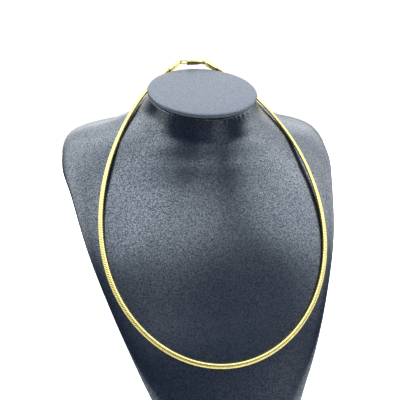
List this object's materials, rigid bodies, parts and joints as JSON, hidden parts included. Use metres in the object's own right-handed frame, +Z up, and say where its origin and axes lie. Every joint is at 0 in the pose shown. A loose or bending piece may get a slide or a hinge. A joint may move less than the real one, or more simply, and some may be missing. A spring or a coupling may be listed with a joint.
{
  "type": "omega necklace on neck bust",
  "caption": "Ribbed gold omega collar with a hook and loop clasp and a snap lever, on a dark leatherette neck bust.",
  "frame": {"origin": "middle of the bust's foot where it stands on the table", "axes": "+Z up, the chest faces -Y, +X to the viewer's right when looking at the chest"},
  "size_m": [0.1558, 0.1499, 0.2372],
  "materials": {
    "leatherette": "satin",
    "gold": "polished"
  },
  "bodies": {
    "bust_and_collar": {"torso": "leatherette", "neck_cap": "leatherette", "omega_band": "gold", "end_cap_left": "gold", "end_cap_right": "gold", "catch_loop": "gold", "clasp_body": "gold", "lever_pin": "gold", "hinge_pin": "gold"},
    "snap_lever": {"clasp_lever": "gold"}
  },
  "joints": [
    {"name": "lever_turn", "type": "hinge", "parent": "bust_and_collar", "child": "snap_lever", "pos_m": [0.003, 0.07949, 0.23577], "axis": [0, 0.6947, -0.7193], "range_deg": [0, 65]}
  ]
}
